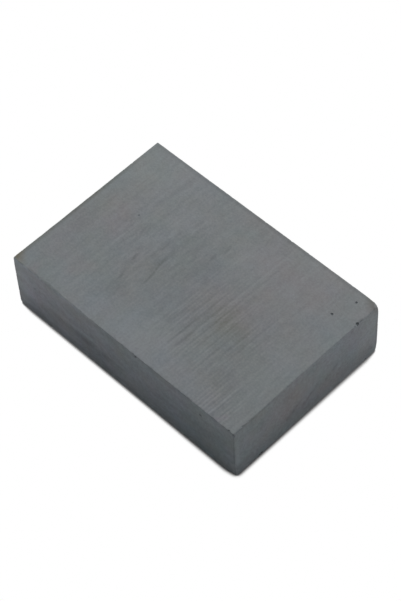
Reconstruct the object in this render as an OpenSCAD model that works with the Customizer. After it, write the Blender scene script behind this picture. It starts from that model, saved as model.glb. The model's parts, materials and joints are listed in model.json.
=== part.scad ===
// Ferrite block magnet: one pressed, sintered and ground block of hard ferrite.
// It lies on its lower pole face, with the centre of that face at the origin, its length along X,
// its width along Y and its direction of magnetisation along Z. Right is +X, rear is +Y.

/* [Block] */
// Length of the block
block_length = 60; // [40:0.5:100]
// Width of the block
block_width = 40; // [25:0.5:80]
// Thickness between the pole faces, along the direction of magnetisation
block_thickness = 15; // [8:0.5:30]

/* [Broken arrises] */
// Bevel on the arrises round both pole faces
pole_arris_break = 0.15; // [0.1:0.05:0.6]
// Bevel on the four upright arrises
upright_arris_break = 0.15; // [0.1:0.05:0.6]

/* [Worn corners] */
// Wear at the right rear corner of the upper pole face, measured in from the sharp corner
upper_corner_wear = 0.6; // [0.4:0.05:0.9]
// Wear at the right rear corner of the lower pole face
lower_right_corner_wear = 0.5; // [0.4:0.05:0.9]
// Wear at the left front corner of the lower pole face
lower_left_corner_wear = 0.45; // [0.4:0.05:0.9]

/* [Flaked corner] */
// Breadth of the flake lost from the right front corner of the lower pole face
corner_flake_span = 7; // [3:0.25:9]
// Depth of that flake, measured in from the sharp corner
corner_flake_depth = 0.4; // [0.3:0.05:0.9]
// How far the flake's hollow leans from the front side towards the right end, in degrees
corner_flake_turn = 7; // [0:1:25]
// How far the flake's hollow leans from the front side towards the upper pole face, in degrees
corner_flake_lift = 3; // [0:1:15]

/* [Nicked arrises] */
// Length of the deep nick in the upper right arris
deep_nick_span = 0.95; // [0.6:0.05:2.5]
// Depth of the deep nick, measured in from the sharp arris
deep_nick_depth = 0.4; // [0.3:0.05:0.8]
// Distance of the deep nick from the rear side
deep_nick_from_rear = 6.1; // [4:0.1:10]
// Distance of the deep nick below the upper pole face
deep_nick_from_top = 0.15; // [0:0.05:0.3]
// Length of each light nick
light_nick_span = 0.7; // [0.5:0.1:2]
// Depth of each light nick, measured in from the sharp arris
light_nick_depth = 0.2; // [0.15:0.01:0.5]
// Light nick along the upper front arris: distance from the right end
front_nick_from_right = 25.7; // [12:0.1:30]
// Distance of that nick below the upper pole face
front_nick_from_top = 0.5; // [0:0.05:0.8]
// Light nick beside the right front corner, in the upper front arris: distance from the right end
corner_nick_from_right = 1.2; // [0.8:0.1:5]
// Light nick in the upper right arris: distance from the front side
right_nick_from_front = 2.4; // [1.2:0.1:6]
// Light nick at the head of the right front upright arris: distance below the upper pole face
upright_nick_from_top = 0.7; // [0.5:0.1:4]
// First light nick along the lower right arris: distance from the front side
lower_nick_from_front = 7.1; // [5:0.1:11]
// Second light nick along the lower right arris: distance from the rear side
lower_nick_from_rear = 3.4; // [2.5:0.1:8]
// Distance of both lower nicks above the lower pole face
lower_nick_from_bottom = 0.4; // [0:0.05:0.5]

/* [Surface pits] */
// Mouth of each open pit in the upper pole face
open_pit_mouth = 0.6; // [0.4:0.05:1.2]
// Depth of each open pit
open_pit_depth = 0.12; // [0.06:0.02:0.4]
// Mouth of each pinhole
pinhole_mouth = 0.6; // [0.3:0.05:0.9]
// Depth of each pinhole
pinhole_depth = 0.07; // [0.04:0.01:0.2]
// Open pit beside the right rear corner: distances from the right end and the rear side
corner_pit = [3.5, 2.5]; // [1.5:0.1:10]
// Open pit by the upper right arris: distances from the right end and the rear side
arris_pit = [5.1, 7.7]; // [1.5:0.1:12]
// Pinhole in the left half of the upper pole face: distances from the left end and the rear side
left_pinhole = [10.7, 16]; // [2:0.1:20]
// Pinhole near the left rear corner: distances from the left end and the rear side
rear_pinhole = [7.4, 3.4]; // [2:0.1:20]
// Pinhole in the front side near its right end: distances from the right end and the upper pole face
right_side_pinhole = [8.6, 2.6]; // [1.5:0.1:6]
// Pinhole in the front side near its left end: distances from the left end and the upper pole face
left_side_pinhole = [5.6, 5.4]; // [1.5:0.1:6]

/* [Hidden] */
$fn = 96;

// Planes of the sharp block
right = block_length / 2;
left = -right;
rear = block_width / 2;
front = -rear;
top = block_thickness;
bottom = 0;

// Colour of the sintered ferrite
ferrite_grey = [0.44, 0.455, 0.46];

// Radius of the ball that a worn corner is rounded to, for each millimetre of wear.
// From 4.5 upwards the ball still reaches all the faces that meet in the corner.
corner_roundness = 5;

// How far a nick that sits beside its arris leans towards it, as a share of the way it faces
nick_lean = 0.4;

// Nicks at the arrises: the place on the sharp block, and the way that the hollow faces
light_nicks = [
    [[right - front_nick_from_right, front, top - front_nick_from_top], [0, -1, nick_lean]],
    [[right - corner_nick_from_right, front, top], [0, -1, 1]],
    [[right, front + right_nick_from_front, top], [1, 0, 1]],
    [[right, front, top - upright_nick_from_top], [1, -1, 0]],
    [[right, front + lower_nick_from_front, bottom + lower_nick_from_bottom], [1, 0, -nick_lean]],
    [[right, rear - lower_nick_from_rear, bottom + lower_nick_from_bottom], [1, 0, -nick_lean]],
];

// Open pits in the upper pole face
open_pits = [
    [right - corner_pit[0], rear - corner_pit[1], top],
    [right - arris_pit[0], rear - arris_pit[1], top],
];

// Pinholes: the place on the face, and the way that the hollow faces
pinholes = [
    [[left + left_pinhole[0], rear - left_pinhole[1], top], [0, 0, 1]],
    [[left + rear_pinhole[0], rear - rear_pinhole[1], top], [0, 0, 1]],
    [[right - right_side_pinhole[0], front, top - right_side_pinhole[1]], [0, -1, 0]],
    [[left + left_side_pinhole[0], front, top - left_side_pinhole[1]], [0, -1, 0]],
];

// Rectangle about the origin, with its four corners cut off by a bevel
module bevelled_rectangle(size_x, size_y, bevel) {
    half_x = size_x / 2;
    half_y = size_y / 2;
    polygon([
        [bevel - half_x, -half_y], [half_x - bevel, -half_y],
        [half_x, bevel - half_y], [half_x, half_y - bevel],
        [half_x - bevel, half_y], [bevel - half_x, half_y],
        [-half_x, half_y - bevel], [-half_x, bevel - half_y],
    ]);
}

// Block with all twelve arrises broken: its three outlines, each drawn through the block
module broken_block() {
    intersection() {
        linear_extrude(block_thickness)
            bevelled_rectangle(block_length, block_width, upright_arris_break);
        translate([0, rear, block_thickness / 2])
            rotate([90, 0, 0])
                linear_extrude(block_width)
                    bevelled_rectangle(block_length, block_thickness, pole_arris_break);
        translate([left, 0, block_thickness / 2])
            rotate([90, 0, 90])
                linear_extrude(block_length)
                    bevelled_rectangle(block_width, block_thickness, pole_arris_break);
    }
}

// What is worn off a corner: all that lies outside a ball set into the corner.
// The corner is given by its place and by the signs of the way it points.
// The wear runs along each arris for its reach, so the cut around it ends a little past that.
module corner_wear(corner, points, wear) {
    ball_radius = corner_roundness * wear;
    inset = (ball_radius + wear) / sqrt(3);
    reach = inset - sqrt(ball_radius * ball_radius - 2 * inset * inset);
    difference() {
        translate(corner)
            cube(reach + inset, center = true);
        translate(corner - points * inset)
            sphere(ball_radius);
    }
}

// Ball that leaves a shell-shaped hollow of the given breadth and depth at a place, open to one side
module flake(place, faces, span, depth) {
    ball_radius = (span * span / 4 + depth * depth) / (2 * depth);
    translate(place + faces / norm(faces) * (ball_radius - depth))
        sphere(ball_radius);
}

// The magnet: the broken block, less its wear, flakes, nicks and pits
module ferrite_block() {
    color(ferrite_grey)
        difference() {
            broken_block();
            corner_wear([right, rear, top], [1, 1, 1], upper_corner_wear);
            corner_wear([right, rear, bottom], [1, 1, -1], lower_right_corner_wear);
            corner_wear([left, front, bottom], [-1, -1, -1], lower_left_corner_wear);
            flake(
                [right, front, bottom],
                [tan(corner_flake_turn), -1, tan(corner_flake_lift)],
                corner_flake_span,
                corner_flake_depth
            );
            flake(
                [right, rear - deep_nick_from_rear, top - deep_nick_from_top],
                [1, 0, 1],
                deep_nick_span,
                deep_nick_depth
            );
            for (nick = light_nicks)
                flake(nick[0], nick[1], light_nick_span, light_nick_depth);
            for (pit = open_pits)
                flake(pit, [0, 0, 1], open_pit_mouth, open_pit_depth);
            for (pinhole = pinholes)
                flake(pinhole[0], pinhole[1], pinhole_mouth, pinhole_depth);
        }
}

ferrite_block();
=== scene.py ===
# %% [markdown]
# # A ferrite block magnet
#
# The real object is one solid. Iron oxide powder is pressed in a die, fired until it sinters into a hard
# grey ceramic, and then ground flat across its two pole faces. It has no coating, so everything that the
# eye reads is in the ceramic itself: the lay of the grinding, the pores, the stains, and the small chips
# that handling knocks out of arrises as brittle as these.
#
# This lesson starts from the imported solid, which fixes the size and the place. It then makes the finishes,
# the shape that wears them, and the stage and light of a plain studio picture.

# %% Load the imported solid
import json
import math
import random

import bpy
from mathutils import Matrix, Vector


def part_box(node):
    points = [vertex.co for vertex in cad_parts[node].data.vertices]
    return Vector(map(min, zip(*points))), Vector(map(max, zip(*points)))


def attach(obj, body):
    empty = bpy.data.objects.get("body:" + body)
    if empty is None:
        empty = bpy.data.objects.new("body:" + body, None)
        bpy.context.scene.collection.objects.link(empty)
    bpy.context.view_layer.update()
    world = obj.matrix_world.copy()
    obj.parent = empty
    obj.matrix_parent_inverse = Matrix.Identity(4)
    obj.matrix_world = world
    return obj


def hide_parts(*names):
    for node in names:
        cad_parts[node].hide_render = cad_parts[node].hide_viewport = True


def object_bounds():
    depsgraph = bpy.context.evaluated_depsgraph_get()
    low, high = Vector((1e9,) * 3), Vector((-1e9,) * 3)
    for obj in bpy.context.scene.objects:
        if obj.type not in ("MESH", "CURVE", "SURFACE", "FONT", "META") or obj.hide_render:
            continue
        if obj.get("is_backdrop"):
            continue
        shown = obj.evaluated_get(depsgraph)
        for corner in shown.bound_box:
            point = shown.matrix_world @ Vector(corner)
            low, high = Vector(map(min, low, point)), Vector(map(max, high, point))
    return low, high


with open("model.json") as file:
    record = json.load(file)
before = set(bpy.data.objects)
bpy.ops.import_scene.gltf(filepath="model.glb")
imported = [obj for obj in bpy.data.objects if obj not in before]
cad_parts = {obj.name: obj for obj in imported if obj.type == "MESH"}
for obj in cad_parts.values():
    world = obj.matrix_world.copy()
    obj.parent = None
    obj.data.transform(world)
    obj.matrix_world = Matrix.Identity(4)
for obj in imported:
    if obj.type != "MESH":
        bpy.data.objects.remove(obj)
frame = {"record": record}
cad_low, cad_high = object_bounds()

MM = 0.001
block_low, block_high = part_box("ferrite_block")
block_size = block_high - block_low
half_mm = block_size / 2 / MM
top_mm = block_high.z / MM
print("solid in mm:", [round(side / MM, 3) for side in block_size])

# %% [markdown]
# ## The camera
#
# The picture is taken from above the right front corner with a long lens, so the sides hardly converge.
# The angles are those at which the block's own edges fall on the edges in the photograph. The sensor's long
# side lies along the height of the picture, and the camera leans a little, as a hand-held one does.

# %% Place the camera
CAMERA_AZIMUTH = math.radians(47.483)
CAMERA_ELEVATION = math.radians(53.933)
CAMERA_LEAN = math.radians(3.688)
CAMERA_DISTANCE = 405.82 * MM
CAMERA_AIM = Vector((0.254, 1.228, 7.5)) * MM
CAMERA_LENS = 123.75


def place_camera():
    """Make the camera and turn it towards the block."""
    flat = math.cos(CAMERA_ELEVATION)
    back = Vector((
        math.sin(CAMERA_AZIMUTH) * flat,
        -math.cos(CAMERA_AZIMUTH) * flat,
        math.sin(CAMERA_ELEVATION),
    ))
    level = Vector((0, 0, 1)).cross(back).normalized()
    upright = back.cross(level)
    right = math.cos(CAMERA_LEAN) * level - math.sin(CAMERA_LEAN) * upright
    up = math.sin(CAMERA_LEAN) * level + math.cos(CAMERA_LEAN) * upright
    turned = Matrix((right, up, back)).transposed().to_4x4()
    lens = bpy.data.cameras.new("portrait_lens")
    lens.lens = CAMERA_LENS
    camera = bpy.data.objects.new("portrait_camera", lens)
    camera.matrix_world = Matrix.Translation(CAMERA_AIM + back * CAMERA_DISTANCE) @ turned
    bpy.context.scene.collection.objects.link(camera)
    bpy.context.scene.camera = camera
    return camera


camera = place_camera()
print("camera in mm:", [round(part / MM, 1) for part in camera.matrix_world.translation])

# %% [markdown]
# ## Node trees written as sums
#
# The shape and the finishes below are node trees. Wired socket by socket, such a tree hides the sum that it
# stands for. A wire here is one output of a tree, and Python's own signs between wires add the Math nodes,
# for numbers and for vectors alike. The same sums then work in a shader and in Geometry Nodes.

# %% Feed a node's inputs
def feed(tree, socket, value):
    """Link a wire to an input, or set the input to a plain value."""
    if isinstance(value, Wire):
        tree.links.new(value.socket, socket)
    elif socket.type == "VECTOR" and isinstance(value, (int, float)):
        socket.default_value = (value, value, value)
    else:
        socket.default_value = value


def add_node(tree, kind, inputs=(), **settings):
    """Add a node, set its properties and feed the inputs that are named."""
    node = tree.nodes.new(kind)
    for name, value in settings.items():
        setattr(node, name, value)
    for name, value in dict(inputs).items():
        feed(tree, node.inputs[name], value)
    return node


def out(node, name=0):
    """One output of a node, as a wire."""
    return Wire(node.id_data, node.outputs[name])


print("helpers are ready:", feed.__name__, add_node.__name__, out.__name__)

# %% Sums between wires
def is_vector(value):
    """True for a vector wire, and for three plain numbers."""
    if isinstance(value, Wire):
        return value.socket.type in {"VECTOR", "RGBA"}
    return not isinstance(value, (int, float))


def compute(tree, operation, *values):
    """One Math node, or one Vector Math node where a value is a vector."""
    vectors = any(is_vector(value) for value in values)
    node = add_node(tree, "ShaderNodeVectorMath" if vectors else "ShaderNodeMath", operation=operation)
    for socket, value in zip(node.inputs, values):
        feed(tree, socket, value)
    gives_number = operation in {"DOT_PRODUCT", "LENGTH"}
    return out(node, "Value" if gives_number or not vectors else "Vector")


def sign(operation):
    """What a sign does with the wire before it and the value after it."""
    return lambda wire, other: compute(wire.tree, operation, wire, other)


def sign_after(operation):
    """What a sign does with a plain value before it and the wire after it."""
    return lambda wire, other: compute(wire.tree, operation, other, wire)


class Wire:
    """One output of a node tree, on which arithmetic adds nodes."""

    def __init__(self, tree, socket):
        self.tree = tree
        self.socket = socket

    __add__ = sign("ADD")
    __radd__ = sign_after("ADD")
    __sub__ = sign("SUBTRACT")
    __rsub__ = sign_after("SUBTRACT")
    __mul__ = sign("MULTIPLY")
    __rmul__ = sign_after("MULTIPLY")
    __truediv__ = sign("DIVIDE")
    __rtruediv__ = sign_after("DIVIDE")
    __gt__ = sign("GREATER_THAN")

    def of(self, operation, *others):
        """Any other Math or Vector Math operation, by its name."""
        return compute(self.tree, operation, self, *others)

    def part(self, axis):
        """One coordinate of a vector."""
        return out(add_node(self.tree, "ShaderNodeSeparateXYZ", {0: self}), axis)

    def ramp(self, low, high):
        """Rise smoothly from 0 at the low value to 1 at the high one."""
        steps = {"Value": self, "From Min": low, "From Max": high}
        return out(add_node(self.tree, "ShaderNodeMapRange", steps, interpolation_type="SMOOTHSTEP"))


print("sums are ready:", compute.__name__, Wire.__name__)

# %% Sums that come up often
def join(tree, x, y, z):
    """A vector from its three coordinates."""
    return out(add_node(tree, "ShaderNodeCombineXYZ", {"X": x, "Y": y, "Z": z}))


def noise(tree, place, detail=2.0, output=0):
    """Soft noise with a pitch of one unit of the place, from 0 to 1."""
    inputs = {"Vector": place, "Scale": 1.0, "Detail": detail}
    return out(add_node(tree, "ShaderNodeTexNoise", inputs), output)


def drift(tree, place):
    """Three such noises at once, as a vector around zero."""
    return noise(tree, place, output="Color") - 0.5


def soft_spot(place, centre, reach):
    """1 at a centre, and 0 at a reach from it along each axis."""
    return 1 - ((place - centre) / reach).of("LENGTH").ramp(0, 1)


print("common sums are ready:", [tool.__name__ for tool in (join, noise, drift, soft_spot)])

# %% [markdown]
# ## Effects that the finishes share
#
# The ground faces, the pressed sides and the broken places are one ceramic, so they share the same effects:
# the grain of the sintered powder, the lines that a grinding wheel or a die wall leaves, and marks such as
# smudges and scratches. Each effect is a node group that puts out a value, a mask or a tint, and each
# finish gives it its own numbers. Painting all this into every material would work as well, but then each
# change would have to be made several times.

# %% Groups with named inputs
def new_group(name, kind, inputs, outputs):
    """An empty node group with its named inputs, the wires that bring them, and its output node."""
    tree = bpy.data.node_groups.new(name, kind)
    for title, (socket_kind, start) in inputs.items():
        socket = tree.interface.new_socket(title, in_out="INPUT", socket_type=socket_kind)
        if start is not None:
            socket.default_value = start
    for title, socket_kind in outputs.items():
        tree.interface.new_socket(title, in_out="OUTPUT", socket_type=socket_kind)
    entry = tree.nodes.new("NodeGroupInput")
    wires = {title: out(entry, title) for title in inputs}
    return tree, wires, tree.nodes.new("NodeGroupOutput")


def use_group(tree, group, **inputs):
    """Place a node group in a material, and give back its one output."""
    node = add_node(tree, "ShaderNodeGroup", node_tree=group)
    for name, value in inputs.items():
        feed(tree, node.inputs[name.capitalize()], value)
    return out(node)


FLOAT = "NodeSocketFloat"
VECTOR = "NodeSocketVector"
COLOUR = "NodeSocketColor"
GEOMETRY = "NodeSocketGeometry"
print("sockets:", FLOAT, VECTOR, COLOUR, GEOMETRY)

# %% Sintered grain and drifting tint
# Red and blue drift by themselves and green stays, so the tint wanders between mauve and teal
TINT_SPREAD = (1.0, 0.0, 0.8)


def make_grain_group():
    """Fine speckle of the sintered powder, around zero."""
    inputs = {"Place": (VECTOR, None), "Size": (FLOAT, 0.3)}
    tree, wires, end = new_group("sintered_grain", "ShaderNodeTree", inputs, {"Grain": FLOAT})
    speckle = noise(tree, wires["Place"] / wires["Size"], detail=3.0)
    feed(tree, end.inputs["Grain"], speckle - 0.5)
    return tree


def make_tint_group():
    """Slow drift of colour, as a factor around one."""
    inputs = {"Place": (VECTOR, None), "Size": (FLOAT, 6.0), "Amount": (FLOAT, 0.2)}
    tree, wires, end = new_group("tint_drift", "ShaderNodeTree", inputs, {"Tint": COLOUR})
    shift = drift(tree, wires["Place"] / wires["Size"]) * TINT_SPREAD
    feed(tree, end.inputs["Tint"], shift * wires["Amount"] + 1)
    return tree


sintered_grain = make_grain_group()
tint_drift = make_tint_group()
print("groups:", sintered_grain.name, tint_drift.name)

# %% Lines left by a wheel or a die
def stretched(place, across, pitch, run):
    """Coordinates in which noise comes out as lines: quick across the lines and slow along them."""
    step = place.of("DOT_PRODUCT", across)
    return place / run + (step * (1 / pitch - 1 / run)) * across


def make_lines_group():
    """Parallel lines with uneven pitch and weight, around zero."""
    inputs = {
        "Place": (VECTOR, None),
        "Across": (VECTOR, (1, 0, 0)),
        "Pitch": (FLOAT, 1.0),
        "Run": (FLOAT, 30.0),
    }
    tree, wires, end = new_group("parallel_lines", "ShaderNodeTree", inputs, {"Lines": FLOAT})
    place = stretched(wires["Place"], wires["Across"], wires["Pitch"], wires["Run"])
    feed(tree, end.inputs["Lines"], noise(tree, place, detail=1.0) - 0.5)
    return tree


parallel_lines = make_lines_group()
print("group:", parallel_lines.name)

# %% Smudges and strokes
def make_smudge_group():
    """A soft mark: 1 at its centre, 0 at its reach along each axis."""
    inputs = {"Place": (VECTOR, None), "Centre": (VECTOR, None), "Reach": (VECTOR, (1, 1, 1))}
    tree, wires, end = new_group("smudge", "ShaderNodeTree", inputs, {"Mask": FLOAT})
    feed(tree, end.inputs["Mask"], soft_spot(wires["Place"], wires["Centre"], wires["Reach"]))
    return tree


def make_stroke_group():
    """A straight mark from one point to another, which fades towards both of its ends."""
    inputs = {
        "Place": (VECTOR, None),
        "Start": (VECTOR, None),
        "End": (VECTOR, (1, 0, 0)),
        "Width": (FLOAT, 0.3),
    }
    tree, wires, end = new_group("stroke", "ShaderNodeTree", inputs, {"Mask": FLOAT})
    way = wires["End"] - wires["Start"]
    from_start = wires["Place"] - wires["Start"]
    along = from_start.of("DOT_PRODUCT", way)
    whole = way.of("DOT_PRODUCT", way)
    share = (along / whole).of("MAXIMUM", 0).of("MINIMUM", 1)
    aside = from_start.of("DOT_PRODUCT", from_start) + share * (share * whole - 2 * along)
    body = 1 - aside.of("MAXIMUM", 0).of("SQRT").ramp(0, wires["Width"])
    fade = (share * (1 - share) * 4).of("POWER", 0.5)
    feed(tree, end.inputs["Mask"], body * fade)
    return tree


smudge = make_smudge_group()
stroke = make_stroke_group()
print("groups:", smudge.name, stroke.name)

# %% [markdown]
# ## The ground pole faces
#
# A wheel has run along the short side, one step beside the other. Its feed marks lie 1.6 mm apart with half
# steps between them, and they show most in the right half and near the right front corner. Fine long lines
# and short dashes cover the whole face. Over them lie broad stains, a few scratches and a few lines that
# stand out by themselves. All of these are tones of one grey, so the material sums them and scales the grey
# once. Marks are given in millimetres on the block, so they stay on it from any side.

# %% Start a finish
SPECULAR_LEVEL = 0.15
ferrite_grey = tuple(frame["record"]["materials"][0]["base_color"])


def tinted(tint):
    """The record's grey, shifted a little by colour."""
    return tuple(part * share for part, share in zip(ferrite_grey, tint))


def new_finish(name, roughness):
    """A material with a Principled shader, and the place on the block in millimetres."""
    material = bpy.data.materials.new(name)
    material.use_nodes = True
    tree = material.node_tree
    shader = tree.nodes["Principled BSDF"]
    shader.inputs["Roughness"].default_value = roughness
    shader.inputs["Specular IOR Level"].default_value = SPECULAR_LEVEL
    place = out(add_node(tree, "ShaderNodeTexCoord"), "Object") / MM
    return material, tree, shader, place


def add_relief(tree, shader, height_mm):
    """Let a height in millimetres tilt the light on the surface."""
    bump = add_node(tree, "ShaderNodeBump", {"Height": height_mm, "Distance": MM, "Strength": 1.0})
    feed(tree, shader.inputs["Normal"], out(bump))


print("ferrite grey:", ferrite_grey)

# %% Texture and marks of a finish
GRAIN_SIZE = 0.42
MOTTLE_SIZE = 1.2


def ceramic_texture(tree, place, grain_tone, mottle_tone, cloud_tone, cloud_size):
    """Grain of the powder by itself, and the tone that grain, mottle and broad cloud add up to."""
    grain = use_group(tree, sintered_grain, place=place, size=GRAIN_SIZE)
    mottle = use_group(tree, sintered_grain, place=place, size=MOTTLE_SIZE)
    cloud = noise(tree, place / cloud_size, detail=3.0) - 0.5
    return grain, grain * grain_tone + mottle * mottle_tone + cloud * cloud_tone


def add_smudges(tree, place, tone, locate, smudges):
    """Add the smudges of one side to a tone. The function locate gives a point of that side."""
    for centre, reach, strength in smudges:
        mark = use_group(tree, smudge, place=place, centre=locate(*centre), reach=reach)
        tone = tone + mark * strength
    return tone


def add_strokes(tree, place, tone, locate, strokes):
    """Add the strokes of one side to a tone, in the same way."""
    for start, end, width, strength in strokes:
        ends = {"start": locate(*start), "end": locate(*end)}
        tone = tone + use_group(tree, stroke, place=place, **ends, width=width) * strength
    return tone


print("grain and mottle in mm:", GRAIN_SIZE, MOTTLE_SIZE)

# %% Marks on the upper pole face
def on_face(x, y):
    """A point of the upper pole face, in millimetres."""
    return (x, y, top_mm)


# Centre, reach along each axis, and how much lighter or darker, by colour where it differs
FACE_SMUDGES = [
    # Darker stains
    ((-8.1, -0.5), (2.4, 5, 9), -0.1),
    ((-10.2, -11.3), (3.2, 3.4, 9), -0.11),
    ((-6, 7), (4, 8, 9), -0.06),
    ((-1, 3.5), (6, 6, 9), -0.05),
    ((2, -2), (50, 15, 9), -0.06),
    ((12, -3), (11, 6, 9), (-0.08, -0.07, -0.14)),
    ((17, -6), (5, 5, 9), -0.06),
    ((19.8, -12.4), (6.5, 4.2, 9), -0.1),
    ((2, 18.5), (9, 4, 9), (-0.01, -0.06, -0.06)),
    ((-26.5, -5.5), (4.5, 6.5, 9), (-0.05, -0.07, -0.07)),
    # Paler patches
    ((-12, 8), (5.5, 7.5, 9), 0.06),
    ((2.6, 9.8), (3.6, 5, 9), 0.06),
    ((-24, 16), (15, 10, 9), 0.06),
    ((13, 18.5), (9, 4, 9), 0.05),
    ((4, -14.5), (14, 6, 9), (0.08, 0.08, 0.1)),
    ((1, -19), (24, 7, 9), (0.05, 0.05, 0.08)),
    ((25, -2), (5.5, 11, 9), 0.06),
    # Casts of colour
    ((14, 13), (18, 16, 9), (0.09, 0.01, 0.01)),
    ((-22, 1), (7, 8, 9), (0.06, 0, 0)),
    ((11, -1.5), (16, 10, 9), (0.06, 0, 0)),
    ((-19, -12), (6, 4, 9), (0.06, 0, 0)),
    ((25.7, -19.2), (1.5, 1.2, 9), (0.05, -0.03, 0.03)),
    ((-28, 5), (6, 14, 9), (0, 0, -0.025)),
    ((-24.5, -19.5), (2.5, 1.6, 2), (0.05, -0.02, 0.01)),
]

# Start, end, width, and how much lighter or darker, by colour where it differs
FACE_STROKES = [
    # Lines of the wheel that stand out
    ((6.1, 5), (5.6, -16), 0.45, 0.07),
    ((7, 4), (6.6, -14), 0.45, -0.03),
    ((6.8, -6), (6.6, -14), 0.45, -0.11),
    ((7.7, 2), (7.3, -15), 0.45, 0.05),
    ((8.5, 2), (8.2, -15), 0.45, -0.03),
    ((8.4, -8), (8.2, -14), 0.45, -0.1),
    ((9.5, 20), (8.6, -18), 0.45, 0.1),
    ((10.2, 15), (9.9, -8), 0.45, -0.04),
    ((18.4, 15), (17.9, -8), 0.45, -0.04),
    ((14.7, -6), (14.5, -16), 0.45, -0.05),
    ((22.9, -12), (22.5, -21), 0.4, -0.12),
    ((24.6, -12), (24.2, -21), 0.4, -0.16),
    ((25.8, -14), (25.5, -20), 0.4, -0.06),
    ((-13, 8), (-13.4, -13), 0.5, 0.05),
    ((-17.9, 4), (-18.3, -13), 0.5, 0.04),
    # Scratches
    ((-7.7, -0.4), (-6.5, -7.2), 0.45, -0.22),
    ((-12.8, -2.6), (-12.4, -4.6), 0.5, -0.2),
    ((-12, -6.4), (-11, -9.4), 0.5, -0.18),
    ((-16.1, 3.6), (-15.8, 0.8), 0.45, -0.16),
    ((-19.4, 3.2), (-19.4, 1.6), 0.45, -0.12),
    ((-8.5, 4.2), (-8.6, 2.4), 0.45, -0.12),
    ((-0.5, 11.2), (-0.1, 8.4), 0.45, -0.16),
    ((-1.4, 7.8), (-1.1, 5.4), 0.5, -0.14),
    # Pale specks
    ((17, -2), (17, -2.4), 0.4, 0.14),
    ((24.9, -13.3), (24.9, -13.7), 0.4, 0.18),
    # Painted shade along the left and rear arrises, two stained corners, and the edge of the deep nick
    ((-29.7, -26), (-29.7, 16), 0.9, (-0.27, -0.27, -0.32)),
    ((-36, 19.7), (36, 19.7), 0.8, -0.17),
    ((31.5, 17), (27, 21.5), 2, (-0.2, -0.26, -0.31)),
    ((29.9, 13.4), (29.9, 15.8), 0.5, -0.3),
    ((-31.5, -17.5), (-27.5, -21), 2.2, (-0.11, -0.22, -0.34)),
    # Painted light along the front arris at the left, which lifts the shade of its rounding
    ((-36, -20), (-8, -20), 0.58, 0.5),
]
print("marks on the upper pole face:", len(FACE_SMUDGES) + len(FACE_STROKES))

# %% Lay of the grinding
GRIND_TURN = math.radians(1.5)
GRIND_ACROSS = (math.cos(GRIND_TURN), -math.sin(GRIND_TURN), 0.0)
GRIND_RUN = 20.0
FEED_PITCH = 1.59
FEED_START = 6.95
FEED_RISE = 0.4
DASH_PITCH = 0.75
DASH_RUN = 2.6
LINE_TONE = 0.12
UNEVENNESS = 3

# Patches where the lay shows most: centre, and reach along each axis
LAY_PATCHES = {
    "combed": (on_face(10, -6), (15, 15, 9)),
    "raked": (on_face(23, -17), (7, 8, 9)),
    "dragged": (on_face(-11, 1), (14, 14, 9)),
}


def feed_marks(place, pitch):
    """The even steps of the wheel's feed: from 0 up a steep flank to 1, and back down a slow one."""
    step = ((place.of("DOT_PRODUCT", GRIND_ACROSS) - FEED_START) / pitch).of("FRACT")
    return step.ramp(0, FEED_RISE) - step.ramp(FEED_RISE, 1)


def wheel_lines(tree, place, pitch, run):
    """Uneven lines along the way that the wheel ran, around zero."""
    return use_group(tree, parallel_lines, place=place, across=GRIND_ACROSS, pitch=pitch, run=run)


def patchy(patches, everywhere, **more):
    """A strength that holds everywhere, with more of it in the patches that are named."""
    strength = everywhere
    for name, amount in more.items():
        strength = strength + amount * patches[name]
    return strength


def grinding_lay(tree, place):
    """The steps of the feed, as a height around zero, and the tone of the lines and dashes."""
    lines = wheel_lines(tree, place, FEED_PITCH, GRIND_RUN)
    fine_lines = wheel_lines(tree, place, FEED_PITCH / 2, GRIND_RUN)
    dashes = wheel_lines(tree, place, DASH_PITCH, DASH_RUN)
    patches = {
        name: use_group(tree, smudge, place=place, centre=centre, reach=reach)
        for name, (centre, reach) in LAY_PATCHES.items()
    }
    full_steps = feed_marks(place, FEED_PITCH) - 0.5
    full_steps = full_steps * patchy(patches, everywhere=0.15, combed=0.65, raked=0.2)
    half_steps = feed_marks(place, FEED_PITCH / 2) - 0.5
    half_steps = half_steps * patchy(patches, everywhere=0.15, combed=0.9, raked=1.5)
    lay = (full_steps + half_steps) * (1 + (lines + dashes) * UNEVENNESS)
    dashed = dashes * patchy(patches, everywhere=0.16, dragged=0.2, combed=0.2, raked=0.1)
    return lay, (lines + fine_lines) * LINE_TONE + dashed


print("feed marks every", FEED_PITCH, "mm, most in", list(LAY_PATCHES))

# %% Ground finish
GROUND_TINT = (0.968, 1.0, 1.0)
GROUND_ROUGHNESS = 0.5
GROUND_GRAIN_GLOSS = 0.1
GROUND_GRAIN_RELIEF = 0.02
LAY_TONE = 0.1
LAY_GLOSS = 0.05
LAY_RELIEF = 0.004
STAIN_WARP = (6, 6, 0)
STAIN_WARP_SIZE = 4.0


def make_ground_finish():
    """The pole faces as the grinding wheel left them, with their stains and scratches."""
    material, tree, shader, place = new_finish("ground_pole_face", GROUND_ROUGHNESS)
    lay, lined = grinding_lay(tree, place)
    grain, texture = ceramic_texture(
        tree, place, grain_tone=0.42, mottle_tone=0.14, cloud_tone=0.1, cloud_size=9.0
    )
    warped = place + drift(tree, place / STAIN_WARP_SIZE) * STAIN_WARP
    tone = 1 + lay * LAY_TONE + lined + texture
    tone = add_smudges(tree, warped, tone, on_face, FACE_SMUDGES)
    tone = add_strokes(tree, place, tone, on_face, FACE_STROKES)
    tint = use_group(tree, tint_drift, place=place, size=6.0, amount=0.17)
    roughness = GROUND_ROUGHNESS + grain * GROUND_GRAIN_GLOSS - lay * LAY_GLOSS
    feed(tree, shader.inputs["Base Color"], tone * tinted(GROUND_TINT) * tint)
    feed(tree, shader.inputs["Roughness"], roughness)
    add_relief(tree, shader, lay * LAY_RELIEF + grain * GROUND_GRAIN_RELIEF)
    return material


ground_finish = make_ground_finish()
print("finish:", ground_finish.name)

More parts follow.
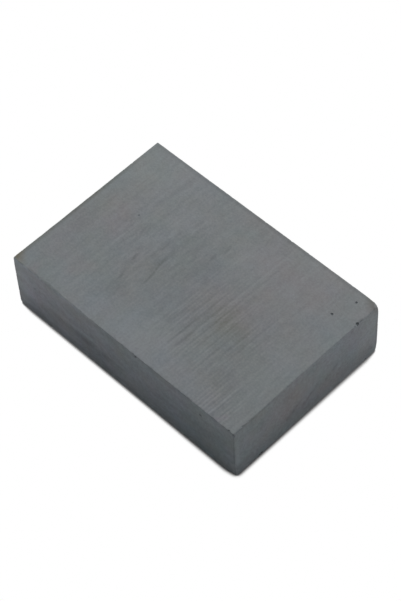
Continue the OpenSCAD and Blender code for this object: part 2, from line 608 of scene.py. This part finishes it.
# %% [markdown]
# ## The pressed sides
#
# The sides were pressed against the die and are hardly ground at all, so they are a little rougher. Their
# streaks of darker and lighter grey run level and show most in the front side, which also has a broad dark
# one. The right end has more grain and a few slanting scratches instead. The same sum of tones serves here,
# with other numbers.

# %% Marks on the sides
def on_front(x, z):
    """A point of the front side, in millimetres."""
    return (x, -half_mm.y, z)


def on_right(y, z):
    """A point of the right end, in millimetres."""
    return (half_mm.x, y, z)


# Laid out as the marks on the upper pole face are
FRONT_SMUDGES = [
    # Patches of tone
    ((-12, 5.6), (10, 5, 2), -0.06),
    ((-20, 13.6), (14, 5, 2.4), 0.06),
    ((-28, 10), (5, 5, 6), 0.06),
    ((-25, 5), (5, 5, 2.5), 0.06),
    ((-13.5, 12.8), (4, 5, 2), 0.05),
    ((0.6, 5), (2, 5, 0.9), 0.1),
    ((-19.5, 4.5), (2, 5, 1.5), 0.06),
    ((20, 7.5), (12, 5, 4), -0.12),
    ((-12, 12), (16, 5, 5), 0.05),
    ((-27, 5.8), (4.5, 5, 2.8), 0.15),
    # Spots by the right front arris
    ((29.4, 4.2), (0.6, 1, 0.6), -0.2),
    ((30, 14.2), (0.7, 0.7, 0.8), -0.22),
    # Casts of colour
    ((-22, 6), (26, 5, 14), (0.05, 0, 0.03)),
    ((8, 8), (24, 5, 12), (0, 0, 0.03)),
    ((24, 7), (18, 5, 14), (-0.05, 0, 0)),
]
FRONT_STROKES = [
    # Level streaks
    ((-20, 6), (-8, 5.5), 1.5, -0.15),
    ((-14, 5.2), (-3, 5.4), 1.4, -0.16),
    ((-6, 5.8), (1, 6), 0.9, -0.1),
    ((-24, 7.7), (-1, 7.6), 0.9, 0.1),
    # Painted shade along the arrises, and along the bottom arris near the right front corner
    ((29.9, 9.5), (29.9, 3), 0.7, -0.08),
    ((24, 14.7), (31.5, 14.7), 0.5, -0.16),
    ((30, 15.5), (30, 2), 0.45, -0.17),
    ((-29.7, 15), (-29.7, 0), 0.6, -0.14),
    ((23, 0.3), (31, 0.3), 1, -0.1),
    # Painted light along the upper arris at the left, which lifts the shade of its rounding
    ((-36, 15), (-8, 15), 0.7, 0.5),
]
END_SMUDGES = [
    # Patches of tone
    ((-4, 12.5), (5, 10, 4), -0.05),
    ((-2, 3), (5, 11, 4), -0.07),
    ((14, 7.5), (5, 5, 3), 0.06),
    ((-5.6, 11.2), (5, 3.2, 2.4), -0.06),
    ((-5.4, 11.4), (5, 1, 1.1), -0.1),
    ((-12.4, 9.8), (5, 2.4, 3), -0.08),
    ((-16.5, 9.8), (5, 1.2, 1.2), 0.1),
    ((4.6, 5), (5, 2.6, 1.6), -0.08),
    ((8.8, 6.5), (5, 1.4, 0.9), 0.1),
    ((17.5, 3.4), (5, 4, 3), -0.07),
    # Spots at the corners and beside the deep nick
    ((19.6, 14.6), (2, 2.2, 2.2), (-0.24, -0.3, -0.36)),
    ((12.3, 14), (1, 0.5, 0.5), -0.25),
    ((14.3, 13.2), (1, 0.5, 0.5), -0.2),
    ((13.2, 13.5), (1, 0.6, 0.6), 0.12),
    ((-19.3, 2.2), (1, 0.6, 0.7), -0.2),
    ((-19.2, 1.8), (2, 1.6, 3), -0.14),
    # Casts of colour
    ((-12.5, 13.2), (5, 2.6, 2.2), (0.08, 0, -0.02)),
    ((-5, 8.5), (5, 9, 9), (0.11, 0, -0.03)),
    ((4, 3), (5, 9, 6), (0.07, 0, -0.02)),
    ((17, 8), (5, 6, 12), (0.05, 0, 0)),
    ((-14, 12), (5, 9, 6), (0, 0, -0.04)),
    ((12, 8), (5, 6, 9), (0, 0, 0.03)),
]
END_STROKES = [
    # Slanting scratches
    ((17.6, 3.8), (18.6, 1.8), 0.7, -0.16),
    ((4.8, 5.4), (9.2, 8.2), 1.1, -0.18),
    ((-6, 3.6), (-1.6, 6.4), 1.1, -0.18),
    ((-2, 3.2), (3.4, 7.2), 1, -0.18),
    # A painted highlight by the front arris, painted shade along the upper and rear arrises, and a darker
    # mark below the deep nick
    ((-19.2, 12), (-19, 1), 0.7, 0.12),
    ((-21, 14.6), (-7, 14.6), 0.6, -0.16),
    ((19.7, 15), (19.7, 0), 0.6, -0.14),
    ((13.4, 14.9), (15.8, 14.9), 0.5, -0.3),
]
SIDE_MARKS = [(on_front, FRONT_SMUDGES, FRONT_STROKES), (on_right, END_SMUDGES, END_STROKES)]
print("marks on the sides:", sum(len(smudges) + len(strokes) for _, smudges, strokes in SIDE_MARKS))

# %% Pressed finish
PRESSED_TINT = (0.935, 0.985, 1.015)
PRESSED_ROUGHNESS = 0.55
PRESSED_GRAIN_GLOSS = 0.12
PRESSED_GRAIN_RELIEF = 0.01
STREAK_TONE = 0.35
FINE_STREAK_TONE = 0.12
STREAK_RELIEF = 0.01
LESS_AT_END = 0.8
END_DEPTH = 1
pressed_grey = tinted(PRESSED_TINT)


def make_pressed_finish():
    """The four sides as the die left them, a shade cooler than the pole faces."""
    material, tree, shader, place = new_finish("pressed_side", PRESSED_ROUGHNESS)
    streaks = use_group(tree, parallel_lines, place=place, across=(0, 0, 1), pitch=2.0, run=10.0)
    fine_streaks = use_group(tree, parallel_lines, place=place, across=(0, 0, 1), pitch=0.6, run=3.0)
    on_end = place.part("X").ramp(half_mm.x - END_DEPTH, half_mm.x)
    streaked = streaks * STREAK_TONE + fine_streaks * FINE_STREAK_TONE
    streaked = streaked * (1 - LESS_AT_END * on_end)
    grain, texture = ceramic_texture(
        tree,
        place,
        grain_tone=0.6 + 0.2 * on_end,
        mottle_tone=0.4 - 0.1 * on_end,
        cloud_tone=0.3,
        cloud_size=7.0,
    )
    tone = 1 + streaked + texture
    for locate, smudges, strokes in SIDE_MARKS:
        tone = add_smudges(tree, place, tone, locate, smudges)
        tone = add_strokes(tree, place, tone, locate, strokes)
    tint = use_group(tree, tint_drift, place=place, size=5.0, amount=0.25)
    feed(tree, shader.inputs["Base Color"], tone * pressed_grey * tint)
    feed(tree, shader.inputs["Roughness"], PRESSED_ROUGHNESS + grain * PRESSED_GRAIN_GLOSS)
    add_relief(tree, shader, streaked * STREAK_RELIEF + grain * PRESSED_GRAIN_RELIEF)
    return material


pressed_finish = make_pressed_finish()
print("finish:", pressed_finish.name)

# %% [markdown]
# ## Broken places
#
# Ferrite breaks like a stone. A chip leaves a rough hollow, which looks dark where it turns away from the
# light.
# Its finish is painted a little lighter than the sides' grey, as painted light that lifts the shade in the
# hollow.
# An open pore is painted darker than that, as painted shade, because it is deep and narrow, and a few nicks
# take the same painted shade. Painted spots could stand for both, but a material of its own fits each hollow
# as it is cut.

# %% Broken and hollow finishes
FRACTURE_GRAIN_SIZE = 0.22
FRACTURE_GRAIN_TONE = 0.5
FRACTURE_GRAIN_GLOSS = 0.15
FRACTURE_GRAIN_RELIEF = 0.02


def make_broken_finish(name, share_of_grey, roughness):
    """Bare fracture, which reflects a share of what the pressed sides do."""
    material, tree, shader, place = new_finish(name, roughness)
    grain = use_group(tree, sintered_grain, place=place, size=FRACTURE_GRAIN_SIZE)
    tone = share_of_grey * (1 + grain * FRACTURE_GRAIN_TONE)
    feed(tree, shader.inputs["Base Color"], tone * pressed_grey)
    feed(tree, shader.inputs["Roughness"], roughness + grain * FRACTURE_GRAIN_GLOSS)
    add_relief(tree, shader, grain * FRACTURE_GRAIN_RELIEF)
    return material


# Painted light: chips are a little lighter than the sides, against the shade in their hollows. Painted
# shade: pores are much darker.
chipped_finish = make_broken_finish("chipped_arris", share_of_grey=1.12, roughness=0.65)
pore_shade_finish = make_broken_finish("open_pore_shade", share_of_grey=0.6, roughness=0.8)
print("finishes:", chipped_finish.name, pore_shade_finish.name)

# %% [markdown]
# ## Where the flaws are
#
# Each chip and pore is the hollow that a ball leaves when it is pressed into the block. A flaw is therefore
# a point, the way that its hollow faces, a breadth and a depth. The ones that the picture shows are placed
# one by one. Along every arris there are many more that are too small to tell apart, so those are scattered,
# with a fixed seed. All of them become the vertices of one small mesh, which feeds the block's tree.

# %% Flaws placed one by one
right, front, top = half_mm.x, -half_mm.y, top_mm

# Place, the way it faces, breadth, depth, and whether its hollow takes the painted shade of a deep pore
PLACED_FLAWS = [
    # Deep nick in the upper right arris, with a small chip on each side of it
    ((right, 13.9, top - 0.15), (1, 0, 1), 0.95, 0.4, False),
    ((right, 13.0, top - 0.1), (1, 0, 0.6), 0.6, 0.1, False),
    ((right, 14.7, top), (1, 0, 1), 0.7, 0.12, False),
    # Nick in the upper front arris, and its tail
    ((4.3, front, top - 0.5), (0, -1, 0.4), 0.7, 0.2, False),
    ((3.6, front, top - 0.35), (0, -1, 0.4), 0.6, 0.08, False),
    # Chips round the upper right front corner
    ((28.8, front, top), (0, -1, 1), 0.7, 0.2, False),
    ((27.4, front, top), (0, -1, 1), 0.6, 0.12, False),
    ((right, front, top), (1, -1, 1), 0.8, 0.15, False),
    ((right, -18.6, top), (1, 0, 1), 0.6, 0.12, False),
    ((right, -17.6, top), (1, 0, 1), 0.7, 0.2, False),
    ((right, -16.0, top), (1, 0, 1), 0.55, 0.12, False),
    ((right, front, 14.1), (1, -1, 0), 1.1, 0.22, False),
    # Nicks along the lower right arris
    ((right, -12.9, 0.4), (1, 0, -0.4), 0.7, 0.2, True),
    ((right, -13.4, 0.35), (1, 0, -0.4), 0.5, 0.12, True),
    ((right, 16.6, 0.4), (1, 0, -0.4), 0.7, 0.2, False),
    # Open pits and pinholes
    ((26.5, 17.5, top), (0, 0, 1), 0.55, 0.1, True),
    ((24.9, 12.3, top), (0, 0, 1), 0.6, 0.11, True),
    ((-19.3, 4.0, top), (0, 0, 1), 0.55, 0.05, False),
    ((-22.6, 16.6, top), (0, 0, 1), 0.5, 0.035, False),
    ((21.4, front, 12.4), (0, -1, 0), 0.6, 0.07, True),
    ((-24.4, front, 9.6), (0, -1, 0), 0.6, 0.07, False),
]
print("flaws placed by hand:", len(PLACED_FLAWS))

# %% Flaws scattered along the arrises
CHIP_SEED = 11
CHIP_GAP = (1.6, 6.0)
CHIP_BREADTH = (0.3, 0.6)
CHIP_DEPTH = (0.07, 0.14)
CLEAR_OF_CORNER = 3.2
CLEAR_OF_FLAW = 1.6


def arrises():
    """The twelve arrises of the sharp block: the axis that each runs along, and the sides it lies on."""
    for along in range(3):
        for first in (-1, 1):
            for second in (-1, 1):
                sides = [first, second]
                sides.insert(along, 0)
                yield along, Vector(sides)


def scatter_chips(seed):
    """Small chips at uneven distances along every arris, clear of the corners and of the placed flaws."""
    draw = random.Random(seed)
    middle = Vector((0, 0, half_mm.z))
    placed = [Vector(flaw[0]) for flaw in PLACED_FLAWS]
    chips = []
    for along, sides in arrises():
        at = CLEAR_OF_CORNER - half_mm[along] + draw.uniform(0, CHIP_GAP[1])
        while at < half_mm[along] - CLEAR_OF_CORNER:
            point = middle + Vector(side * half for side, half in zip(sides, half_mm))
            point[along] += at
            breadth = draw.uniform(*CHIP_BREADTH)
            depth = draw.uniform(*CHIP_DEPTH)
            if all((point - other).length > CLEAR_OF_FLAW for other in placed):
                chips.append((tuple(point), tuple(sides), breadth, depth, False))
            at += draw.uniform(*CHIP_GAP)
    return chips


scattered_flaws = scatter_chips(CHIP_SEED)
print("flaws scattered along the arrises:", len(scattered_flaws))

# %% Mesh of flaw points
def make_flaw_points(flaws):
    """One vertex at the centre of each ball, with the ball's radius and whether its hollow takes painted
    pore shade.
    """
    centres = []
    radii = []
    for point, facing, breadth, depth, _ in flaws:
        radius = (breadth ** 2 / 4 + depth ** 2) / (2 * depth)
        centres.append((Vector(point) + Vector(facing).normalized() * (radius - depth)) * MM)
        radii.append(radius * MM)
    mesh = bpy.data.meshes.new("flaw_points")
    mesh.from_pydata(centres, [], [])
    mesh.attributes.new("ball_radius", "FLOAT", "POINT").data.foreach_set("value", radii)
    pore_shades = [float(flaw[-1]) for flaw in flaws]
    mesh.attributes.new("is_pore", "FLOAT", "POINT").data.foreach_set("value", pore_shades)
    return mesh


flaw_points = make_flaw_points(PLACED_FLAWS + scattered_flaws)
print("balls:", len(flaw_points.vertices))

# %% [markdown]
# ## The block as a tree
#
# The block's shape follows rules, so it is a Geometry Nodes tree. It starts as a closed lattice with its
# lines crowded towards the arrises, where the shape is. Every point is then moved by sums: onto a rounded
# and slightly ragged arris, onto the balls that the worn corners were rubbed to, into the shell-shaped
# flake that the lower right front corner has lost, and down by the depth of the furrows. Last, the balls of
# all the flaws are cut out. Bevels and sculpting could give the same look, but a sum can be changed in one
# place and always gives a closed mesh.

# %% Lattice
LATTICE_LINES = (281, 111, 33)
LATTICE_CROWDING = (0.3, 0.6, 0.7)


def crowd(share, at):
    """Move a coordinate between -1 and 1 towards the nearer end."""
    return at + ((at * (math.pi / 2)).of("SINE") - at) * share


def sharp_places(tree, half):
    """Where the lattice's points lie on the sharp block."""
    unit = out(tree.nodes.new("GeometryNodeInputPosition"))
    crowded = [crowd(share, unit.part(axis)) for axis, share in zip("XYZ", LATTICE_CROWDING)]
    return join(tree, *crowded) * half


print("lattice lines:", LATTICE_LINES)

# %% Arrises, corners and the flake
CORNER_ROUNDNESS = 5
RIPPLE_PITCH = 0.7 * MM
RIPPLE_HEIGHT = 0.012 * MM
FRACTURE_PITCH = 0.6 * MM
FRACTURE_HEIGHT = 0.12 * MM


def round_arris(place, half, radius):
    """Round every arris: step in to the core of the block, and out again by the radius."""
    inner = half - radius
    core = place.of("MINIMUM", inner).of("MAXIMUM", inner * -1)
    return core + (place - core).of("NORMALIZE") * radius


def wear_corner(place, half, points, wear):
    """Pull a corner onto a ball. The corner is given by the signs of the way that it points."""
    radius = CORNER_ROUNDNESS * wear
    inset = (radius + wear) / math.sqrt(3)
    centre = (half - inset) * points
    away = place - centre
    facing = away * points
    least = facing.part("X").of("MINIMUM", facing.part("Y")).of("MINIMUM", facing.part("Z"))
    pull = (radius / away.of("LENGTH")).of("MINIMUM", 1)
    return centre + away * (1 + (least > 0) * (pull - 1))


def flake(place, struck, facing, breadth, depth):
    """Press in a shell-shaped hollow with a rippled floor, round the point where the block was struck."""
    radius = (breadth * breadth / 4 + depth * depth) / (2 * depth)
    centre = struck + (radius - depth) * tuple(Vector(facing).normalized())
    from_blow = (place - struck).of("LENGTH")
    ripples = (from_blow * (2 * math.pi / RIPPLE_PITCH)).of("SINE") * RIPPLE_HEIGHT
    rough = (noise(place.tree, place / FRACTURE_PITCH, detail=3.0) - 0.5) * FRACTURE_HEIGHT
    away = place - centre
    push = ((radius + ripples + rough) / away.of("LENGTH")).of("MAXIMUM", 1)
    return centre + away * push


print("ripples of the flake every", round(RIPPLE_PITCH / MM, 2), "mm")

# %% Cutters
BALL_SUBDIVISIONS = 4
CHIP_GRAIN = 0.3 * MM
CHIP_ROUGHNESS = 0.5


def set_finish(tree, geometry, material, selection=True):
    """Give a material to the selected faces."""
    inputs = {"Geometry": geometry, "Selection": selection, "Material": material}
    return out(add_node(tree, "GeometryNodeSetMaterial", inputs))


def stored(tree, name):
    """A number that every point holds under a name."""
    return out(add_node(tree, "GeometryNodeInputNamedAttribute", {"Name": name}))


def flaw_cutters(tree, points):
    """A rough ball at every flaw point, finished as the hollow that it leaves: chipped, or painted dark as
    pore shade.
    """
    shape = {"Radius": 1.0, "Subdivisions": BALL_SUBDIVISIONS}
    ball = out(add_node(tree, "GeometryNodeMeshIcoSphere", shape))
    radius = stored(tree, "ball_radius")
    places = {"Points": points, "Instance": ball, "Scale": radius}
    balls = out(add_node(tree, "GeometryNodeInstanceOnPoints", places))
    balls = out(add_node(tree, "GeometryNodeRealizeInstances", {"Geometry": balls}))
    place = out(tree.nodes.new("GeometryNodeInputPosition"))
    normal = out(tree.nodes.new("GeometryNodeInputNormal"))
    rough = (noise(tree, place / CHIP_GRAIN) - 0.5) * radius * CHIP_ROUGHNESS
    moved = {"Geometry": balls, "Offset": normal * rough}
    balls = out(add_node(tree, "GeometryNodeSetPosition", moved))
    balls = set_finish(tree, balls, chipped_finish)
    return set_finish(tree, balls, pore_shade_finish, stored(tree, "is_pore") > 0.5)


print("subdivisions of a ball:", BALL_SUBDIVISIONS)

# %% Sizes of the block
BLOCK_INPUTS = {
    "Length": block_size.x,
    "Width": block_size.y,
    "Thickness": block_size.z,
    "Sharp Arris": 0.08 * MM,
    "Worn Arris": 0.5 * MM,
    "Furrow Depth": 0.004 * MM,
    "Flake Breadth": 7.0 * MM,
    "Flake Depth": 0.4 * MM,
}

# Corners are signs of the way that they point, and other places are shares of the half sizes
WORN_CORNERS = {(1, 1, 1): 0.6 * MM, (1, 1, -1): 0.5 * MM, (-1, -1, -1): 0.38 * MM}
ROUNDED_CORNERS = [(1, 1, 1), (1, 1, -1)]
ROUNDED_CORNER_REACH = (3 * MM, 3 * MM, 3 * MM)
WORN_ARRIS_MIDDLE = (-0.7, -1, 1)
WORN_ARRIS_REACH = (15 * MM, 3 * MM, 3 * MM)
WORN_END_MIDDLE = (-1, -0.4, 1)
WORN_END_REACH = (3 * MM, 26 * MM, 3 * MM)
WORN_END_SHARE = 0.38
RAGGED_PITCH = 1.4 * MM
RAGGED_LEAST = 0.3
RAGGED_SPREAD = 1.4
FLAKED_CORNER = (1, -1, -1)
FLAKE_FACES = (math.tan(math.radians(7)), -1, math.tan(math.radians(3)))
print("worn corners in mm:", {corner: wear / MM for corner, wear in WORN_CORNERS.items()})

# %% Where the points of the lattice go
def arris_radius(sharp, half, wires):
    """Radius of the arrises: small and ragged, and larger where handling has rubbed them."""
    ragged = noise(sharp.tree, sharp / RAGGED_PITCH, detail=3.0)
    rubbed = soft_spot(sharp, half * WORN_ARRIS_MIDDLE, WORN_ARRIS_REACH)
    worn_end = soft_spot(sharp, half * WORN_END_MIDDLE, WORN_END_REACH)
    rubbed = rubbed.of("MAXIMUM", WORN_END_SHARE * worn_end)
    for corner in ROUNDED_CORNERS:
        rubbed = rubbed.of("MAXIMUM", soft_spot(sharp, half * corner, ROUNDED_CORNER_REACH))
    radius = wires["Sharp Arris"] + (wires["Worn Arris"] - wires["Sharp Arris"]) * rubbed
    return radius * (RAGGED_LEAST + RAGGED_SPREAD * ragged)


def shaped_places(tree, wires):
    """Where every point of the lattice goes, and how deep the flake has moved it."""
    half = join(tree, wires["Length"], wires["Width"], wires["Thickness"]) * 0.5
    sharp = sharp_places(tree, half)
    worn = round_arris(sharp, half, arris_radius(sharp, half, wires))
    for corner, wear in WORN_CORNERS.items():
        worn = wear_corner(worn, half, corner, wear)
    struck = half * FLAKED_CORNER
    flaked = flake(worn, struck, FLAKE_FACES, wires["Flake Breadth"], wires["Flake Depth"])
    flaked = flaked.of("MINIMUM", half).of("MAXIMUM", half * -1)
    sunk = (1 - feed_marks(flaked / MM, FEED_PITCH)) * wires["Furrow Depth"] / half.part("Z")
    places = flaked * join(tree, 1.0, 1.0, 1 - sunk) + half * (0, 0, 1)
    return places, (flaked - worn).of("LENGTH")


print("ragged arrises:", RAGGED_LEAST, "to", RAGGED_LEAST + RAGGED_SPREAD, "of their radius")

# %% Finishes and cuts
POLE_FACE_SLOPE = 0.7
FRACTURE_FROM = 0.02 * MM
SHARP_ANGLE = math.radians(32)


def dress_block(tree, block):
    """Ground finish on the pole faces, fracture in the flake, and pressed finish on the rest."""
    upright = out(tree.nodes.new("GeometryNodeInputNormal")).part("Z").of("ABSOLUTE")
    block = set_finish(tree, block, pressed_finish)
    block = set_finish(tree, block, ground_finish, upright > POLE_FACE_SLOPE)
    return set_finish(tree, block, chipped_finish, stored(tree, "flaked") > FRACTURE_FROM)


def cut_flaws(tree, block, flaws):
    """Cut the balls of the flaws out of the block."""
    meshes = {"Mesh 1": block, "Mesh 2": flaw_cutters(tree, flaws)}
    cut = add_node(tree, "GeometryNodeMeshBoolean", meshes, operation="DIFFERENCE", solver="MANIFOLD")
    return out(cut)


def shade_block(tree, block):
    """Smooth shading, which stops at sharp edges."""
    smooth = {"Geometry": block, "Shade Smooth": True}
    block = out(add_node(tree, "GeometryNodeSetShadeSmooth", smooth))
    angle = out(tree.nodes.new("GeometryNodeInputMeshEdgeAngle"))
    sharp_edges = {"Geometry": block, "Selection": angle > SHARP_ANGLE, "Shade Smooth": False}
    return out(add_node(tree, "GeometryNodeSetShadeSmooth", sharp_edges, domain="EDGE"))


print("edges are sharp from", round(math.degrees(SHARP_ANGLE)), "degrees")

# %% The whole tree
def make_block_tree():
    """Build the tree of the block, with its sizes as named inputs."""
    inputs = {"Flaws": (GEOMETRY, None)}
    inputs.update({name: (FLOAT, size) for name, size in BLOCK_INPUTS.items()})
    tree, wires, end = new_group("ferrite_block_shape", "GeometryNodeTree", inputs, {"Block": GEOMETRY})
    lattice_lines = dict(zip(("Vertices X", "Vertices Y", "Vertices Z"), LATTICE_LINES))
    block = out(add_node(tree, "GeometryNodeMeshCube", {"Size": 2.0, **lattice_lines}))
    places, depth = shaped_places(tree, wires)
    kept = {"Geometry": block, "Name": "flaked", "Value": depth}
    block = out(add_node(tree, "GeometryNodeStoreNamedAttribute", kept))
    block = out(add_node(tree, "GeometryNodeSetPosition", {"Geometry": block, "Position": places}))
    block = dress_block(tree, block)
    block = cut_flaws(tree, block, wires["Flaws"])
    block = shade_block(tree, block)
    block = out(add_node(tree, "GeometryNodeRealizeInstances", {"Geometry": block}))
    feed(tree, end.inputs["Block"], block)
    return tree


block_tree = make_block_tree()
print("block tree:", len(block_tree.nodes), "nodes")

# %% Grow the block and make it a plain mesh
def grow_block():
    """Run the tree on the flaw points, and keep its result as a mesh of its own."""
    seed_object = bpy.data.objects.new("flaw_points", flaw_points)
    bpy.context.scene.collection.objects.link(seed_object)
    modifier = seed_object.modifiers.new("shape", "NODES")
    modifier.node_group = block_tree
    for item in block_tree.interface.items_tree:
        if item.in_out == "INPUT" and item.name in BLOCK_INPUTS:
            modifier[item.identifier] = BLOCK_INPUTS[item.name]
    grown = seed_object.evaluated_get(bpy.context.evaluated_depsgraph_get())
    mesh = bpy.data.meshes.new_from_object(grown)
    for index in reversed(range(len(mesh.materials))):
        if mesh.materials[index] is None:
            mesh.materials.pop(index=index)
    seed_object.modifiers.remove(modifier)
    bpy.data.objects.remove(seed_object)
    mesh.name = "ground_ferrite_block"
    block = bpy.data.objects.new("ground_ferrite_block", mesh)
    bpy.context.scene.collection.objects.link(block)
    return block


block = grow_block()
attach(block, "root")
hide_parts("ferrite_block")
triangles = sum(len(face.vertices) - 2 for face in block.data.polygons)
print("block:", triangles, "triangles,", [material.name for material in block.data.materials])

# %% [markdown]
# ## The stage
#
# The picture has a white ground on which the block leaves only a thin dark line of shadow. The floor is
# therefore white to the camera and to reflections, less a shadow near the contact, and a pale grey to the
# light that it sends back up to the block's sides. The shadow comes from how close the block is, because a
# floor that only looks white catches none from the lamps. It is wider at the right, darkest by the right
# front corner, and all but ends at the two outer corners.

# %% Shadow at the contact
CONTACT_REACH = 0.95 * MM
CONTACT_GROWTH = 0.3
CONTACT_GROWTH_TO = 28
CORNER_SHARE = 0.35
CORNER_REACH = 4
CONTACT_LEAST = 0.05
CONTACT_FADE = 0.06
CONTACT_FADE_FROM = 5
CONTACT_FADE_TO = 35


def shadow(tree, reach, dark, light):
    """How much of the floor's white is left beside the block, from 0 to 1."""
    nearby = add_node(tree, "ShaderNodeAmbientOcclusion", {"Distance": reach}, samples=16)
    return out(nearby, "AO").ramp(dark, light)


def contact_reach(tree):
    """How far the contact shadow reaches: farther at the right, and hardly at the two outer corners."""
    place = out(tree.nodes.new("ShaderNodeNewGeometry"), "Position") / MM
    reach = CONTACT_REACH * (1 + CONTACT_GROWTH * place.part("X").ramp(0, CONTACT_GROWTH_TO))
    for side in (-1, 1):
        corner = (side * half_mm.x, side * half_mm.y, 0.0)
        away = (place - corner).of("LENGTH").ramp(0, CORNER_REACH)
        reach = reach * (CORNER_SHARE + (1 - CORNER_SHARE) * away)
    return reach


def contact_least(tree):
    """The white that is left at the contact itself: more of it away from the front corner."""
    place = out(tree.nodes.new("ShaderNodeNewGeometry"), "Position") / MM
    corner = (half_mm.x, -half_mm.y, 0.0)
    away = (place - corner).of("LENGTH").ramp(CONTACT_FADE_FROM, CONTACT_FADE_TO)
    return CONTACT_LEAST + CONTACT_FADE * away


print("contact shadow reaches", round(CONTACT_REACH / MM, 2), "mm")

# %% Floor
FLOOR_DROP = 0.02 * MM
FLOOR_SIZE = 4.0
FLOOR_GREY = (0.85, 0.85, 0.85, 1.0)
SHADOW_REACH = 12 * MM


def seen_directly(tree):
    """1 for the rays of the camera, of reflections and of clear materials."""
    path = tree.nodes.new("ShaderNodeLightPath")
    seen = out(path, "Is Camera Ray")
    for ray in ("Is Glossy Ray", "Is Transmission Ray"):
        seen = seen.of("MAXIMUM", out(path, ray))
    return seen


def make_floor_finish():
    """White to a direct look, less the shadow, and pale grey to the light that it sends back."""
    material = bpy.data.materials.new("studio_floor")
    material.use_nodes = True
    material.cycles.emission_sampling = "NONE"
    tree = material.node_tree
    tree.nodes.clear()
    mirrored = out(tree.nodes.new("ShaderNodeLightPath"), "Is Glossy Ray")
    contact = shadow(tree, contact_reach(tree), dark=0.5, light=0.95)
    least = contact_least(tree)
    contact = least + (1 - least) * contact
    around = shadow(tree, SHADOW_REACH, dark=0.5, light=1.0)
    strength = contact + (around - contact) * mirrored
    white = add_node(tree, "ShaderNodeEmission", {"Strength": strength})
    grey = add_node(tree, "ShaderNodeBsdfDiffuse", {"Color": FLOOR_GREY})
    shaders = {0: seen_directly(tree), 1: out(grey), 2: out(white)}
    surface = add_node(tree, "ShaderNodeMixShader", shaders)
    end = tree.nodes.new("ShaderNodeOutputMaterial")
    feed(tree, end.inputs["Surface"], out(surface))
    return material


def make_floor():
    """A wide floor just below the block."""
    half = FLOOR_SIZE / 2
    corners = [(x * half, y * half, -FLOOR_DROP) for x, y in ((-1, -1), (1, -1), (1, 1), (-1, 1))]
    mesh = bpy.data.meshes.new("studio_floor")
    mesh.from_pydata(corners, [], [(0, 1, 2, 3)])
    mesh.materials.append(make_floor_finish())
    floor = bpy.data.objects.new("studio_floor", mesh)
    bpy.context.scene.collection.objects.link(floor)
    floor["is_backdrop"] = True
    return floor


floor = make_floor()
print("floor:", floor.name)

# %% Surroundings
AMBIENT = 0.05


def make_surroundings():
    """White surroundings, which light the block only a little."""
    world = bpy.data.worlds.new("studio")
    world.use_nodes = True
    bpy.context.scene.world = world
    tree = world.node_tree
    background = tree.nodes["Background"]
    background.inputs["Color"].default_value = (1, 1, 1, 1)
    feed(tree, background.inputs["Strength"], AMBIENT + (1 - AMBIENT) * seen_directly(tree))
    return world


surroundings = make_surroundings()
print("surroundings:", surroundings.name)

# %% [markdown]
# ## The light
#
# Soft boxes, as in a small product studio. The strongest one stands behind the block, and the lower of two
# at the rear left rakes across the upper face. A weak one stands at the right. Two small cards close by
# give the two visible sides their slow change of tone. One light overhead would be simpler, but it would
# leave both sides dark and flat.

# %% Soft boxes
# Place in metres, side length in metres, and power in watts
SOFT_BOXES = {
    "rear_box": ((0.0, 0.6, 0.6), 0.5, 4.65),
    "rear_left_box": ((-0.4, 0.4, 0.7), 0.5, 0.8),
    "low_rear_left_box": ((-0.5, 0.5, 0.3), 0.4, 2.5),
    "right_box": ((0.8, 0.1, 0.35), 0.5, 0.77),
    "left_card": ((-0.2, -0.12, 0.1), 0.1, 0.28),
    "rear_card": ((0.16, 0.2, 0.1), 0.1, 0.22),
}


def add_soft_box(name, place, size, power):
    """A square area light that faces the block."""
    lamp = bpy.data.lights.new(name, "AREA")
    lamp.shape = "SQUARE"
    lamp.size = size
    lamp.energy = power
    soft_box = bpy.data.objects.new(name, lamp)
    soft_box.location = place
    soft_box.rotation_euler = Vector(place).to_track_quat("Z", "Y").to_euler()
    bpy.context.scene.collection.objects.link(soft_box)
    return soft_box


for name, settings in SOFT_BOXES.items():
    add_soft_box(name, *settings)
bpy.context.scene.view_settings.view_transform = "Standard"
print("soft boxes:", list(SOFT_BOXES))

# %% Print the two boxes and finish
visual_low, visual_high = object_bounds()
boxes = {
    "cad": [list(cad_low), list(cad_high)],
    "visual": [list(visual_low), list(visual_high)],
}
for name, box in boxes.items():
    print(name, "box in mm:", [round(part / MM, 3) for corner in box for part in corner])
